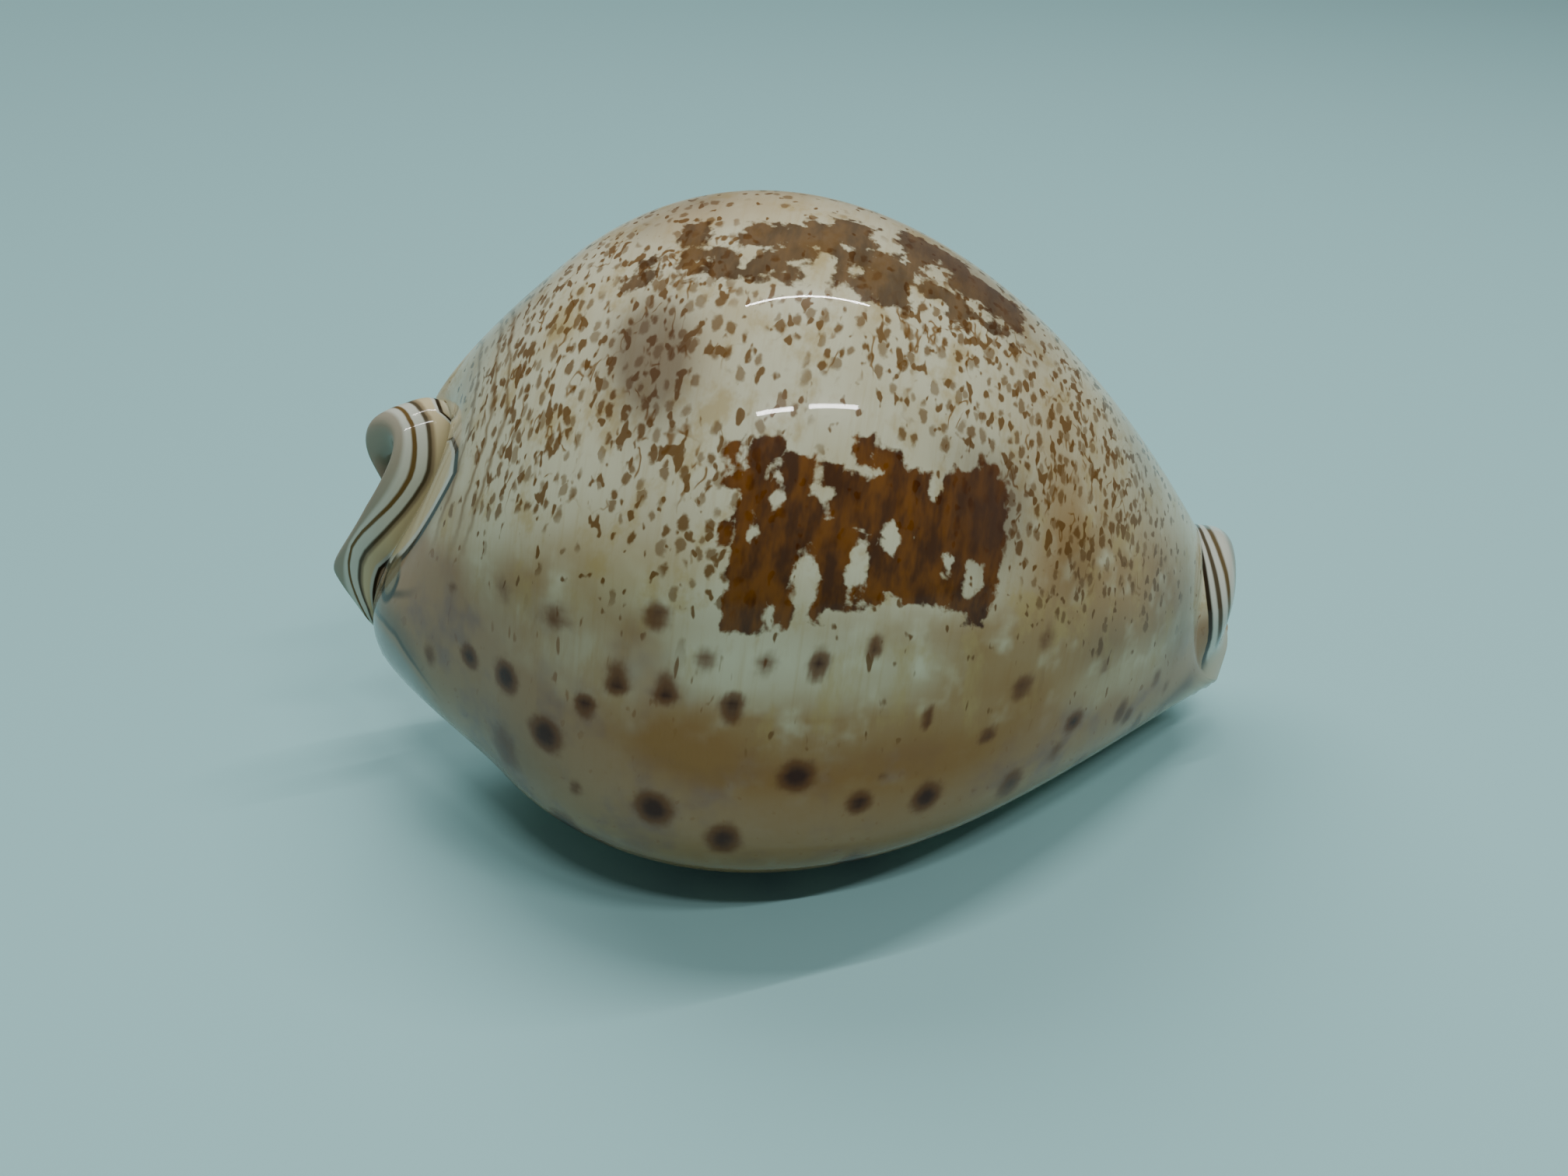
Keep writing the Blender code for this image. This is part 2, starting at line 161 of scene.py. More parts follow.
def sheet(along, girth, inside=False, band=1.0):
    """Point of the outer or inner face of the sheet, before the shell is tilted.

    girth turns round a superellipse from one side of the slot (0) to the other (1), and
    band moves both ends of it from the lip (0) to the edge of the toothed band (1). Each
    collar is drawn out along X by bell curves of the direction in which a point lies.
    """
    rear, front, body = collar_parts(along)
    sizes = half_sizes(body)
    back, base, outer, inner = sizes
    swell = hump(body, 0.5, 0.5)
    outer_low = NECK_FULLNESS + (OUTER_BASE_FULLNESS - NECK_FULLNESS) * swell
    inner_low = NECK_FULLNESS + (INNER_BASE_FULLNESS - NECK_FULLNESS) * swell
    room = 0.8 * (np.minimum(outer, inner) - SLOT_HALF_WIDTH - LIP_RADIUS)
    reach = LIP_BAND * room / (LIP_BAND + room) * (0.15 + 0.85 * swell)
    reach = SLOT_HALF_WIDTH + LIP_RADIUS + (0 if inside else band) * reach
    start = slot_angles(outer, outer_low, reach)
    end = slot_angles(inner, inner_low, reach)
    angle = -np.pi / 2 - start - girth * (2 * np.pi - start - end)
    cosine, sine = np.cos(angle), np.sin(angle)
    upward = 0.5 + 0.5 * np.tanh(sine / FULLNESS_BLEND)
    low_fullness = np.where(cosine > 0, inner_low, outer_low)
    power = 2 / (low_fullness + (BACK_FULLNESS - low_fullness) * upward)
    draw_in = np.sin(rear * np.pi / 2) ** 2
    rear_bend, front_bend = (1 - body) ** 3, body ** 3
    wide = 1 + REAR_COLLAR_FLARE[0] * draw_in + FRONT_COLLAR_FLARE[0] * front
    high = 1 + REAR_COLLAR_FLARE[1] * draw_in + FRONT_COLLAR_FLARE[1] * front
    aside = REAR_COLLAR_SHIFT[0] * rear + FRONT_COLLAR_SHIFT[0] * front
    upwards = REAR_COLLAR_SHIFT[1] * rear + FRONT_COLLAR_SHIFT[1] * front
    y, z = section(cosine, sine, power, *sizes)
    z = z * high + upwards
    heading = np.degrees(np.arctan2(z / np.where(z > 0, back, base),
                                    y / np.where(y > 0, inner, outer))) % 360
    if inside:
        y, z = section(cosine, sine, power, *hollow_sizes(body, *sizes))
        z = z * high + upwards
    degrees = np.degrees(angle) % 360
    bend = SLOT_BEND * hump(body, 1.5, 1.5) * lobe(degrees, DOWN, SLOT_BEND_WIDTH)
    y = (y * wide + aside + bend
         + REAR_NECK_OFFSET[0] * rear_bend + FRONT_NECK_OFFSET[0] * front_bend)
    z = (z - LIP_PAD[0] * lobe(degrees, *LIP_PAD[1:]) * hump(body, 1, 1)
         - FRONT_FOOT[0] * lobe(degrees, *FRONT_FOOT[1:]) * front_bend
         + REAR_NECK_OFFSET[1] * rear_bend + FRONT_NECK_OFFSET[1] * front_bend)
    lips = sum(size * lobe(heading, *shape) for size, *shape in REAR_LIPS)
    base_lip = FRONT_BASE_LIP[0] * lobe(heading, *FRONT_BASE_LIP[1:])
    low = lobe(heading, DOWN, BASE_CUT_WIDTH)
    x = (REAR_NECK_X + (FRONT_NECK_X - REAR_NECK_X) * body
         - lips * np.clip(1 - body / REAR_LIP_FADE, 0, 1) ** 2
         + base_lip * np.clip((body - FRONT_LIP_START) / (1 - FRONT_LIP_START), 0, 1) ** 2
         - (REAR_COLLAR - REAR_COLLAR_BASE_CUT * low) * rear
         + (FRONT_COLLAR - FRONT_COLLAR_BASE_CUT * low) * front)
    if inside:
        x = x + low * (REAR_BASE_INSET * rear_bend ** 4 - FRONT_BASE_INSET * front_bend ** 4)
    return np.stack(np.broadcast_arrays(x, y, z), -1)


def tooth_wave(along, teeth):
    """0 between two teeth and 1 on a tooth's crest: half of 1 less a cosine, which makes
    one turn to a tooth."""
    phase = np.clip((along - TEETH_FROM) / (TEETH_TO - TEETH_FROM), 0, 1) * teeth
    return 0.5 - 0.5 * np.cos(2 * np.pi * phase)


def lip_columns(along, side, teeth):
    """Columns of points from the toothed band of one lip, over its edge, into the slot.

    The edge is a quarter circle. The teeth's wave pushes every point out of the lip. It
    fades to nothing across the band onto the base, and along it at the front end.
    """
    ridge = TOOTH_HEIGHT * tooth_wave(along, teeth) ** 0.8
    ridge *= np.clip((TEETH_TO - along) / TEETH_FADE, 0, 1)
    to_slot = 1 if side == 0 else -1
    place = np.full_like(along, side)
    columns = []
    for band in BAND_PLACES:
        point = sheet(along, place, band=band)
        point[:, 2] -= ridge * (1 - band) ** 0.7
        columns.append(point)
    lip = sheet(along, place, band=0)
    for degrees in EDGE_TURNS:
        turn = math.radians(degrees)
        out = LIP_RADIUS * math.sin(turn) + ridge * math.sin(turn) * 0.8
        point = lip.copy()
        point[:, 1] += to_slot * out
        point[:, 2] += LIP_RADIUS * (1 - math.cos(turn)) - ridge * math.cos(turn)
        columns.append(point)
    return columns


def tilted(points):
    """Points turned by the roll about X, then the pitch about Y, then the yaw about Z."""
    roll, pitch, yaw = (math.radians(angle) for angle in (ROLL, PITCH, YAW))
    about_x = np.array([[1, 0, 0], [0, math.cos(roll), -math.sin(roll)],
                        [0, math.sin(roll), math.cos(roll)]])
    about_y = np.array([[math.cos(pitch), 0, math.sin(pitch)], [0, 1, 0],
                        [-math.sin(pitch), 0, math.cos(pitch)]])
    about_z = np.array([[math.cos(yaw), -math.sin(yaw), 0],
                        [math.sin(yaw), math.cos(yaw), 0], [0, 0, 1]])
    return points @ (about_z @ about_y @ about_x).T


# Places along the sheet: close together round both rims, then eight or nine to a tooth.
rim = RIM_START + (1 - RIM_START) * np.sin(np.linspace(0, np.pi / 2, RIM_PLACES))
collar = np.concatenate([np.linspace(0, RIM_START, COLLAR_PLACES)[:-1], rim])
along = np.concatenate([REAR_COLLAR_SPAN * (1 - collar[::-1]),
                        np.linspace(REAR_COLLAR_SPAN, TEETH_FROM, NECK_PLACES)[1:-1],
                        np.linspace(TEETH_FROM, TEETH_TO, TEETH_PLACES),
                        1 - FRONT_COLLAR_SPAN + FRONT_COLLAR_SPAN * collar])
girth = np.linspace(0, 1, GIRTH_POINTS)

# The outside runs from inside the slot over the outer lip, over the back, and over the
# inner lip into the slot again. The hidden inside is coarser between the collars.
outer_lip = np.array(lip_columns(along, 0, OUTER_LIP_TEETH))
inner_lip = np.array(lip_columns(along, 1, INNER_LIP_TEETH))
lip_count, place_count = len(outer_lip), len(along)
outside_along, outside_girth = np.meshgrid(along, np.concatenate(
    [np.zeros(lip_count), girth, np.ones(lip_count)]))
back_face = sheet(*np.meshgrid(along, girth))
outside = np.concatenate([outer_lip[::-1], back_face, inner_lip])
kept = np.concatenate([np.arange(len(collar)),
                       np.arange(len(collar), place_count - len(collar), INSIDE_KEEPS),
                       np.arange(place_count - len(collar), place_count)])
inside_along, inside_girth = np.meshgrid(along[kept], girth[::-1])
inside = sheet(inside_along, inside_girth, inside=True)


def rounded(points, places, turns):
    """Near a rim, points drawn in to the middle of the sheet's two faces by the height
    of a quarter circle, so that the rim is round."""
    rear, front, _ = collar_parts(places)
    near_rim = np.clip((np.maximum(rear, front) - RIM_START) / (1 - RIM_START), 0, 1)
    middle = (sheet(places, turns, band=0) + sheet(places, turns, inside=True)) / 2
    return middle + np.sqrt(1 - near_rim ** 2)[..., None] * (points - middle)


outside = tilted(rounded(outside, outside_along, outside_girth))
inside = tilted(rounded(inside, inside_along, inside_girth))
low, high = outside.min(axis=(0, 1)), outside.max(axis=(0, 1))
rest_place = [(low[0] + high[0]) / 2, (low[1] + high[1]) / 2, low[2] + WORN_DEPTH]
outside, inside = outside - rest_place, inside - rest_place
outside[..., 2] = np.maximum(outside[..., 2], 0)
outside_numbers = np.arange(outside[..., 0].size).reshape(outside.shape[:2])
inside_numbers = outside_numbers.size + np.arange(inside[..., 0].size).reshape(inside.shape[:2])


def strip_faces(rows):
    """Four-sided faces between each row of point numbers and the next one."""
    return np.stack([rows[:-1, :-1], rows[:-1, 1:], rows[1:, 1:], rows[1:, :-1]],
                    -1).reshape(-1, 4).tolist()


def slot_faces(fine, coarse):
    """Faces in the slot between a row of all places and a row of the kept places."""
    return [[*fine[kept[step]:kept[step + 1] + 1], coarse[step + 1], coarse[step]]
            for step in range(len(kept) - 1)]


faces = strip_faces(outside_numbers) + strip_faces(inside_numbers)
faces += slot_faces(outside_numbers[-1], inside_numbers[0])
faces += [face[::-1] for face in slot_faces(outside_numbers[0], inside_numbers[-1])]
mesh = bpy.data.meshes.new("shell")
mesh.from_pydata(np.concatenate([outside.reshape(-1, 3), inside.reshape(-1, 3)]), [], faces)


# The markings. Each is a field over the outside, worked out here for every point, and
# the porcelain turns it into colour with a sharp or a soft edge.

def save_field(name, values, inside_value=0.0):
    """Keep a number for every point of the mesh, under a name the porcelain reads."""
    field = np.concatenate([np.broadcast_to(values, outside.shape[:2]).ravel(),
                            np.full(inside_numbers.size, inside_value)])
    mesh.attributes.new(name, "FLOAT", "POINT").data.foreach_set(
        "value", field.astype(np.float32))


# Distances in mm along the back and round the shell, in which the freckles are laid out.
# Those along it are measured on one row of points over the back, and those round it are
# counted from the girth that comes next.
BACK_ROW, ROUND_FROM = 90, 0.38
back_steps = np.linalg.norm(np.diff(back_face[BACK_ROW], axis=0), axis=1)
mm_along = np.concatenate([[0], np.cumsum(back_steps)]) / MM
mm_round = np.linalg.norm(np.diff(back_face, axis=0), axis=2).sum(axis=0) / MM
flow = np.zeros((outside_numbers.size + inside_numbers.size, 3), np.float32)
flow[:outside_numbers.size, 0] = np.broadcast_to(mm_along, outside.shape[:2]).ravel()
flow[:outside_numbers.size, 1] = ((outside_girth - ROUND_FROM) * mm_round).ravel()
mesh.attributes.new("flow", "FLOAT_VECTOR", "POINT").data.foreach_set("vector", flow.ravel())

# Stripes on the rear collar. They count up from the rim (0) over a thin line (1) and a
# shaded line (2) to the groove at the body (3). Each row is girth, then the three lines.
REAR_STRIPES = np.array([
    (0.00, 0.080, 0.092, 0.100), (0.04, 0.058, 0.085, 0.098), (0.06, 0.042, 0.074, 0.096),
    (0.08, 0.028, 0.062, 0.094), (0.11, 0.017, 0.050, 0.091), (0.13, 0.018, 0.049, 0.090),
    (0.15, 0.021, 0.054, 0.100), (0.18, 0.031, 0.063, 0.112), (0.20, 0.038, 0.068, 0.120),
    (0.22, 0.045, 0.073, 0.138), (0.25, 0.052, 0.078, 0.158), (0.28, 0.055, 0.081, 0.175),
    (0.30, 0.053, 0.080, 0.185), (0.32, 0.049, 0.075, 0.196), (0.345, 0.044, 0.069, 0.212),
    (0.365, 0.040, 0.065, 0.205), (0.384, 0.037, 0.062, 0.182), (0.405, 0.035, 0.059, 0.105),
    (0.43, 0.031, 0.055, 0.083), (0.46, 0.030, 0.052, 0.083), (0.50, 0.029, 0.050, 0.087),
    (0.60, 0.028, 0.050, 0.090), (1.00, 0.040, 0.065, 0.095)])
thin, shaded, groove = (np.interp(outside_girth, REAR_STRIPES[:, 0], line)
                        for line in REAR_STRIPES[:, 1:].T)
# Between the shaded line and the groove, the shade and the groove's pale edge each take up
# at most the first of two values of "along", or the second as a part of the room there.
SHADE_SPAN, EDGE_SPAN, PAST_GROOVE = (0.014, 0.4), (0.012, 0.3), 0.02
shade_end = shaded + np.minimum(SHADE_SPAN[0], SHADE_SPAN[1] * (groove - shaded))
edge_start = groove - np.minimum(EDGE_SPAN[0], EDGE_SPAN[1] * (groove - shaded))
save_field("rear_stripes", np.select(
    [outside_along < thin, outside_along < shaded, outside_along < shade_end,
     outside_along < edge_start, outside_along < groove],
    [outside_along / thin, 1 + (outside_along - thin) / (shaded - thin),
     2 + 0.4 * (outside_along - shaded) / (shade_end - shaded),
     2.4 + 0.3 * (outside_along - shade_end) / (edge_start - shade_end),
     2.7 + 0.3 * (outside_along - edge_start) / (groove - edge_start)],
    3 + (outside_along - groove) / PAST_GROOVE))

# The same on the front collar, counted from its rim to the dark line at the body.
FRONT_STRIPES = np.array([
    (0.00, 0.985, 0.972, 0.925), (0.10, 0.988, 0.975, 0.915), (0.12, 0.988, 0.973, 0.925),
    (0.14, 0.987, 0.971, 0.936), (0.17, 0.986, 0.968, 0.942), (0.20, 0.984, 0.964, 0.941),
    (0.25, 0.978, 0.957, 0.934), (0.30, 0.971, 0.948, 0.924), (0.35, 0.963, 0.938, 0.915),
    (0.40, 0.952, 0.927, 0.908), (0.45, 0.943, 0.918, 0.900), (0.50, 0.938, 0.915, 0.898),
    (0.60, 0.940, 0.918, 0.900), (1.00, 0.960, 0.940, 0.915)])
PAST_DARK_LINE = 0.015
pale, brown, dark = (np.interp(outside_girth, FRONT_STRIPES[:, 0], line)
                     for line in FRONT_STRIPES[:, 1:].T)
save_field("front_stripes", np.select(
    [outside_along > pale, outside_along > brown, outside_along > dark],
    [(1 - outside_along) / (1 - pale), 1 + (pale - outside_along) / (pale - brown),
     2 + (brown - outside_along) / (brown - dark)],
    3 + (dark - outside_along) / PAST_DARK_LINE))
save_field("inside", 0.0, 1.0)

# Small steps by which a direction is found, the mm past which a point belongs to another
# side of the shell and what is added to it there, the mm that stand for far away, and the
# mm in one whole of "along" on the middle of the back.
STEP_ALONG, STEP_ROUND = 0.005, 0.01
OTHER_SIDE, BEYOND, FAR_AWAY = 12, 100, 30.0
BACK_MM = 140


def distances(place, turn):
    """Distances in mm of every point from one place on the shell: along it and round it,
    measured straight, and large for points on the shell's other side."""
    def point(place, turn):
        row, part = divmod(turn * (GIRTH_POINTS - 1), 1)
        row = lip_count + int(row)
        line = outside[row] * (1 - part) + outside[row + 1] * part
        return np.array([np.interp(place, along, line[:, axis]) for axis in range(3)])
    heading = point(place + STEP_ALONG, turn) - point(place - STEP_ALONG, turn)
    heading /= np.linalg.norm(heading)
    across = (point(place, min(turn + STEP_ROUND, 0.99))
              - point(place, max(turn - STEP_ROUND, 0.0)))
    across -= heading * (across @ heading)
    across /= np.linalg.norm(across)
    away = (outside - point(place, turn)) / MM
    beyond = np.where(np.abs(away @ np.cross(heading, across)) > OTHER_SIDE, BEYOND, 0)
    return away @ heading + beyond, away @ across + beyond


def ovals(shapes):
    """How far inside the nearest oval a point is, in mm: 0 on its edge. Each shape is
    its place along, its girth, and its half sizes in mm along and round the shell."""
    depth = np.full(outside.shape[:2], -FAR_AWAY)
    for place, turn, half_along, half_round in shapes:
        ahead, across = distances(place, turn)
        reach = np.hypot(ahead / half_along, across / half_round)
        depth = np.maximum(depth, (1 - reach) * min(half_along, half_round))
    return depth


def blocks(shapes):
    """The same for blocks, each from one place along to another and one girth to another."""
    depth = np.full(outside.shape[:2], -FAR_AWAY)
    for start, end, low_turn, high_turn in shapes:
        ahead = np.minimum(outside_along - start, end - outside_along)
        across = np.minimum(outside_girth - low_turn, high_turn - outside_girth)
        depth = np.maximum(depth, np.minimum(ahead * BACK_MM, across * mm_round))
    return depth


# The map-like brown blotch on the side towards the outer lip, and the pale holes in it.
BLOTCH = ((0.448, 0.470, 0.261, 0.310), (0.448, 0.484, 0.275, 0.322),
          (0.475, 0.486, 0.264, 0.290), (0.449, 0.486, 0.308, 0.331),
          (0.450, 0.469, 0.325, 0.348), (0.469, 0.487, 0.316, 0.343),
          (0.480, 0.502, 0.299, 0.326), (0.496, 0.511, 0.273, 0.312),
          (0.493, 0.501, 0.269, 0.283), (0.500, 0.524, 0.275, 0.287),
          (0.500, 0.546, 0.304, 0.339), (0.522, 0.533, 0.277, 0.311),
          (0.530, 0.552, 0.284, 0.314), (0.530, 0.547, 0.318, 0.346),
          (0.508, 0.528, 0.333, 0.350), (0.488, 0.501, 0.329, 0.341),
          (0.545, 0.574, 0.280, 0.314), (0.545, 0.600, 0.305, 0.340),
          (0.563, 0.598, 0.330, 0.353), (0.571, 0.597, 0.278, 0.291),
          (0.583, 0.595, 0.271, 0.283), (0.588, 0.599, 0.284, 0.340),
          (0.566, 0.579, 0.284, 0.345), (0.548, 0.570, 0.330, 0.346),
          (0.505, 0.516, 0.345, 0.356), (0.520, 0.533, 0.343, 0.353),
          (0.578, 0.590, 0.348, 0.360), (0.438, 0.447, 0.325, 0.332),
          (0.436, 0.444, 0.336, 0.345), (0.440, 0.447, 0.300, 0.312))
BLOTCH_HOLES = ((0.490, 0.285, 1.05, 2.6), (0.517, 0.296, 0.90, 2.0), (0.584, 0.298, 0.95, 1.5),
                (0.466, 0.334, 0.60, 0.55), (0.469, 0.323, 0.65, 0.8), (0.458, 0.308, 0.35, 0.8),
                (0.494, 0.327, 0.65, 0.6), (0.489, 0.336, 0.40, 1.1), (0.497, 0.316, 0.4, 0.4),
                (0.516, 0.313, 0.55, 0.35), (0.532, 0.312, 0.80, 1.2), (0.567, 0.304, 0.4, 1.0),
                (0.516, 0.341, 1.0, 0.5), (0.554, 0.341, 0.6, 1.0))
save_field("blotch", np.minimum(blocks(BLOTCH), -ovals(BLOTCH_HOLES)))

# The second blotch, across the top, and its holes.
TOP_BLOTCH = ((0.386, 0.403, 0.443, 0.463), (0.360, 0.376, 0.432, 0.440),
              (0.350, 0.373, 0.421, 0.429), (0.387, 0.427, 0.422, 0.441),
              (0.408, 0.468, 0.420, 0.430), (0.424, 0.441, 0.438, 0.457),
              (0.435, 0.470, 0.425, 0.444), (0.428, 0.500, 0.443, 0.459),
              (0.458, 0.520, 0.452, 0.467), (0.474, 0.501, 0.460, 0.478),
              (0.476, 0.556, 0.437, 0.453), (0.480, 0.526, 0.423, 0.435),
              (0.500, 0.523, 0.420, 0.456), (0.519, 0.546, 0.445, 0.482),
              (0.515, 0.562, 0.470, 0.493), (0.543, 0.600, 0.452, 0.484),
              (0.549, 0.561, 0.428, 0.452), (0.556, 0.590, 0.438, 0.446))
TOP_HOLES = ((0.431, 0.434, 1.0, 0.9), (0.474, 0.436, 1.1, 1.2), (0.473, 0.427, 1.5, 0.8),
             (0.456, 0.432, 0.45, 0.45), (0.446, 0.441, 0.45, 0.3), (0.486, 0.449, 0.5, 0.5),
             (0.508, 0.468, 1.5, 1.6), (0.542, 0.459, 1.0, 1.6), (0.529, 0.447, 0.4, 0.8),
             (0.566, 0.449, 0.9, 0.9), (0.400, 0.428, 0.7, 0.4), (0.532, 0.432, 0.6, 0.4))
save_field("top_blotch", np.minimum(blocks(TOP_BLOTCH), -ovals(TOP_HOLES)))

# Round dark spots on both margins and the base. Each is its place along, its girth, its
# half size in mm, how much longer it is round the shell, and how dark it is.
SPOTS = ((0.258, 0.227, 0.95, 1.0, 0.80), (0.299, 0.231, 1.15, 1.0, 0.95),
         (0.219, 0.203, 0.80, 1.3, 0.45), (0.338, 0.213, 1.35, 1.0, 0.90),
         (0.368, 0.235, 0.85, 1.0, 0.80), (0.389, 0.246, 0.90, 1.0, 0.85),
         (0.420, 0.246, 0.85, 1.0, 0.90), (0.459, 0.243, 0.80, 1.0, 0.95),
         (0.342, 0.259, 1.30, 0.7, 0.45), (0.293, 0.266, 1.10, 1.0, 0.30),
         (0.410, 0.265, 0.95, 1.0, 0.60), (0.441, 0.254, 0.80, 0.8, 0.50),
         (0.475, 0.253, 0.80, 0.8, 0.45), (0.504, 0.254, 0.70, 1.2, 0.80),
         (0.533, 0.259, 0.55, 1.5, 0.70), (0.571, 0.238, 0.40, 2.0, 0.75),
         (0.613, 0.224, 0.70, 0.9, 0.70), (0.631, 0.243, 0.95, 0.8, 0.70),
         (0.642, 0.263, 0.95, 1.2, 0.35), (0.682, 0.210, 0.90, 1.0, 0.80),
         (0.500, 0.218, 1.20, 1.0, 0.95), (0.418, 0.191, 1.30, 1.1, 0.90),
         (0.462, 0.173, 1.20, 1.3, 0.80), (0.539, 0.199, 0.90, 1.1, 0.80),
         (0.580, 0.192, 1.10, 1.2, 0.85), (0.640, 0.170, 1.10, 1.5, 0.65),
         (0.672, 0.186, 0.80, 1.4, 0.35), (0.732, 0.188, 0.80, 1.5, 0.60),
         (0.775, 0.203, 0.80, 1.2, 0.40), (0.363, 0.186, 0.60, 1.3, 0.45),
         (0.296, 0.176, 1.60, 1.4, 0.50), (0.236, 0.257, 0.60, 0.8, 0.40),
         (0.700, 0.242, 0.80, 1.0, 0.35), (0.550, 0.214, 0.45, 1.0, 0.30),
         (0.742, 0.172, 0.60, 1.6, 0.60), (0.795, 0.172, 0.60, 1.5, 0.35),
         (0.353, 0.108, 1.50, 1.7, 0.95), (0.378, 0.090, 1.40, 1.8, 0.90),
         (0.258, 0.087, 1.20, 2.2, 0.75), (0.202, 0.080, 0.90, 2.2, 0.40),
         (0.189, 0.050, 0.80, 2.0, 0.35), (0.232, 0.040, 0.90, 1.6, 0.40),
         (0.311, 0.043, 1.40, 1.4, 0.75), (0.423, 0.055, 1.35, 1.8, 0.85),
         (0.492, 0.053, 1.30, 1.9, 0.95), (0.456, 0.030, 1.10, 1.5, 0.85),
         (0.540, 0.098, 1.15, 2.2, 0.90), (0.590, 0.077, 1.20, 2.4, 0.90),
         (0.551, 0.028, 1.20, 1.6, 0.80), (0.632, 0.042, 1.20, 1.9, 0.75),
         (0.659, 0.042, 1.20, 1.9, 0.75), (0.757, 0.130, 0.60, 2.5, 0.50),
         (0.751, 0.080, 0.55, 3.0, 0.45), (0.787, 0.085, 0.70, 2.2, 0.35),
         (0.700, 0.110, 0.90, 1.8, 0.40), (0.795, 0.030, 0.90, 1.6, 0.40),
         (0.230, 0.760, 0.90, 1.2, 0.60), (0.275, 0.790, 1.10, 1.2, 0.80),
         (0.320, 0.755, 0.95, 1.1, 0.80), (0.352, 0.805, 1.30, 1.3, 0.85),
         (0.395, 0.770, 1.00, 1.0, 0.90), (0.430, 0.815, 1.25, 1.3, 0.85),
         (0.470, 0.775, 0.95, 1.1, 0.90), (0.515, 0.810, 1.20, 1.2, 0.90),
         (0.545, 0.765, 0.80, 1.0, 0.80), (0.590, 0.800, 1.10, 1.3, 0.85),
         (0.630, 0.765, 0.85, 1.0, 0.70), (0.668, 0.805, 0.95, 1.3, 0.75),
         (0.715, 0.780, 0.80, 1.2, 0.60), (0.760, 0.810, 0.75, 1.4, 0.50),
         (0.300, 0.850, 1.10, 1.6, 0.70), (0.375, 0.865, 1.20, 1.6, 0.80),
         (0.450, 0.870, 1.15, 1.7, 0.80), (0.530, 0.865, 1.15, 1.7, 0.80),
         (0.610, 0.860, 1.05, 1.7, 0.75), (0.690, 0.860, 0.90, 1.7, 0.60),
         (0.340, 0.915, 1.00, 1.5, 0.60), (0.490, 0.925, 1.00, 1.6, 0.70),
         (0.575, 0.918, 0.95, 1.6, 0.65), (0.650, 0.915, 0.90, 1.5, 0.55))
SPOT_FALL, SPOT_POWER = 0.69, 2.2
darkness = np.zeros(outside.shape[:2])
for place, turn, half, longer, strength in SPOTS:
    reach = -ovals([(place, turn, half, half * longer)]) / half + 1
    core = np.exp(-SPOT_FALL * np.abs(reach) ** SPOT_POWER)
    darkness = np.maximum(darkness, strength * core)
save_field("spots", darkness)


def clouds(shapes):
    """Sum of soft bell-shaped patches, each with its place, girth, half sizes in mm and
    strength, held between 0 and 1."""
    total = np.zeros(outside.shape[:2])
    for place, turn, half_along, half_round, strength in shapes:
        ahead, across = distances(place, turn)
        total += strength * np.exp(-(ahead / half_along) ** 2 - (across / half_round) ** 2)
    return np.clip(total, 0, 1)


# Ochre clouds on the cream, a grey-brown veil over some places, and where it is freckled. The
# large ochre clouds at 0.62 to 0.75 along on the outer side are partly painted shade, darkening
# that end.
save_field("ochre_and_shade", clouds((
    (0.300, 0.270, 5, 3, 0.9), (0.235, 0.300, 3, 4, 0.5), (0.345, 0.285, 5, 3, 0.5),
    (0.405, 0.300, 4, 4, 0.35), (0.400, 0.260, 5, 2, 0.6), (0.440, 0.228, 7, 3, 0.8),
    (0.530, 0.230, 10, 5, 1.0), (0.470, 0.228, 8, 4, 0.8), (0.590, 0.222, 8, 4, 0.8),
    (0.620, 0.250, 8, 5, 0.9), (0.690, 0.290, 9, 8, 1.0), (0.750, 0.340, 7, 9, 0.5),
    (0.620, 0.400, 8, 8, 0.25), (0.540, 0.262, 12, 2, 0.3),
    (0.640, 0.340, 5, 9, 0.55), (0.560, 0.270, 9, 2, 0.35),
    (0.780, 0.290, 5, 5, 0.5), (0.190, 0.450, 3, 6, 0.5), (0.205, 0.340, 1.6, 4, 0.7),
    (0.390, 0.380, 5, 4, 0.4), (0.385, 0.470, 5, 5, 0.45), (0.430, 0.490, 8, 5, 0.25),
    (0.500, 0.120, 12, 6, 0.7), (0.600, 0.120, 8, 6, 0.6), (0.440, 0.100, 7, 6, 0.45),
    (0.500, 0.530, 12, 6, 0.3), (0.350, 0.620, 7, 7, 0.4), (0.600, 0.680, 9, 7, 0.5),
    (0.400, 0.740, 9, 4, 0.6), (0.560, 0.760, 9, 4, 0.6), (0.690, 0.720, 6, 5, 0.5),
    (0.255, 0.680, 4, 6, 0.5), (0.480, 0.860, 14, 6, 0.5))))
save_field("veil", clouds((
    (0.388, 0.372, 3.2, 4.2, 1.2), (0.378, 0.392, 3.0, 3.4, 1.0), (0.925, 0.055, 4, 3, 1.0),
    (0.590, 0.325, 3.6, 3.6, 0.85), (0.600, 0.345, 3.4, 3.0, 0.4),
    (0.560, 0.480, 6, 3, 0.75), (0.600, 0.455, 4, 3, 0.4), (0.390, 0.492, 2.5, 2, 0.5),
    (0.355, 0.478, 2.2, 2.5, 0.4), (0.245, 0.490, 4, 4, 0.5), (0.720, 0.440, 4, 4, 0.4),
    (0.820, 0.330, 4, 5, 0.5), (0.300, 0.180, 5, 4, 0.5), (0.700, 0.600, 6, 6, 0.5),
    (0.700, 0.255, 4, 3, 0.4), (0.760, 0.300, 3, 4, 0.5), (0.805, 0.250, 3, 4, 0.5),
    (0.655, 0.315, 3, 3, 0.3), (0.575, 0.358, 4.5, 2.5, 0.5), (0.825, 0.100, 2.6, 1.8, 1.0),
    (0.795, 0.118, 3.0, 1.0, 0.8), (0.460, 0.620, 4, 4, 0.4))))
